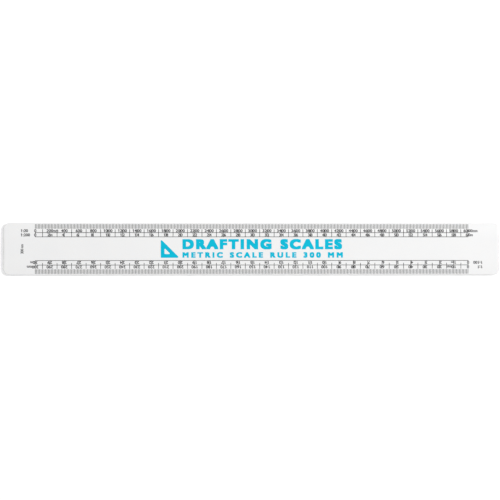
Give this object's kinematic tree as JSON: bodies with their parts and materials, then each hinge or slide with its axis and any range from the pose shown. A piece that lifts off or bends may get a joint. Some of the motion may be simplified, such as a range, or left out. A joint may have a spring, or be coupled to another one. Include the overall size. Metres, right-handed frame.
{
  "type": "flat scale ruler",
  "caption": "Flat-oval white plastic drawing scale with graduated edges on both faces, numbered rows, a centre title and rounded corners.",
  "frame": {"origin": "centre of the flat land on the back face, which the rule rests on", "axes": "+X along the rule, to the right when the centre title reads upright; +Y across it, towards the edge above the title; +Z out of the front face"},
  "size_m": [0.3442, 0.036, 0.0036],
  "materials": {
    "white_plastic": "satin moulded white polystyrene",
    "black_ink": "thin matt black print",
    "cyan_ink": "thin satin cyan print"
  },
  "bodies": {
    "root": {"rule_body": "white_plastic", "front_upper_ticks": "black_ink", "front_upper_rulings": "black_ink", "front_upper_figures": "black_ink", "front_upper_legend": "black_ink", "front_lower_ticks": "black_ink", "front_lower_rulings": "black_ink", "front_lower_figures": "black_ink", "front_lower_legend": "black_ink", "back_upper_ticks": "black_ink", "back_upper_rulings": "black_ink", "back_upper_figures": "black_ink", "back_upper_legend": "black_ink", "back_lower_ticks": "black_ink", "back_lower_rulings": "black_ink", "back_lower_figures": "black_ink", "back_lower_legend": "black_ink", "centre_emblem": "cyan_ink", "centre_title": "cyan_ink", "centre_subtitle": "cyan_ink", "length_mark": "black_ink"}
  },
  "joints": []
}
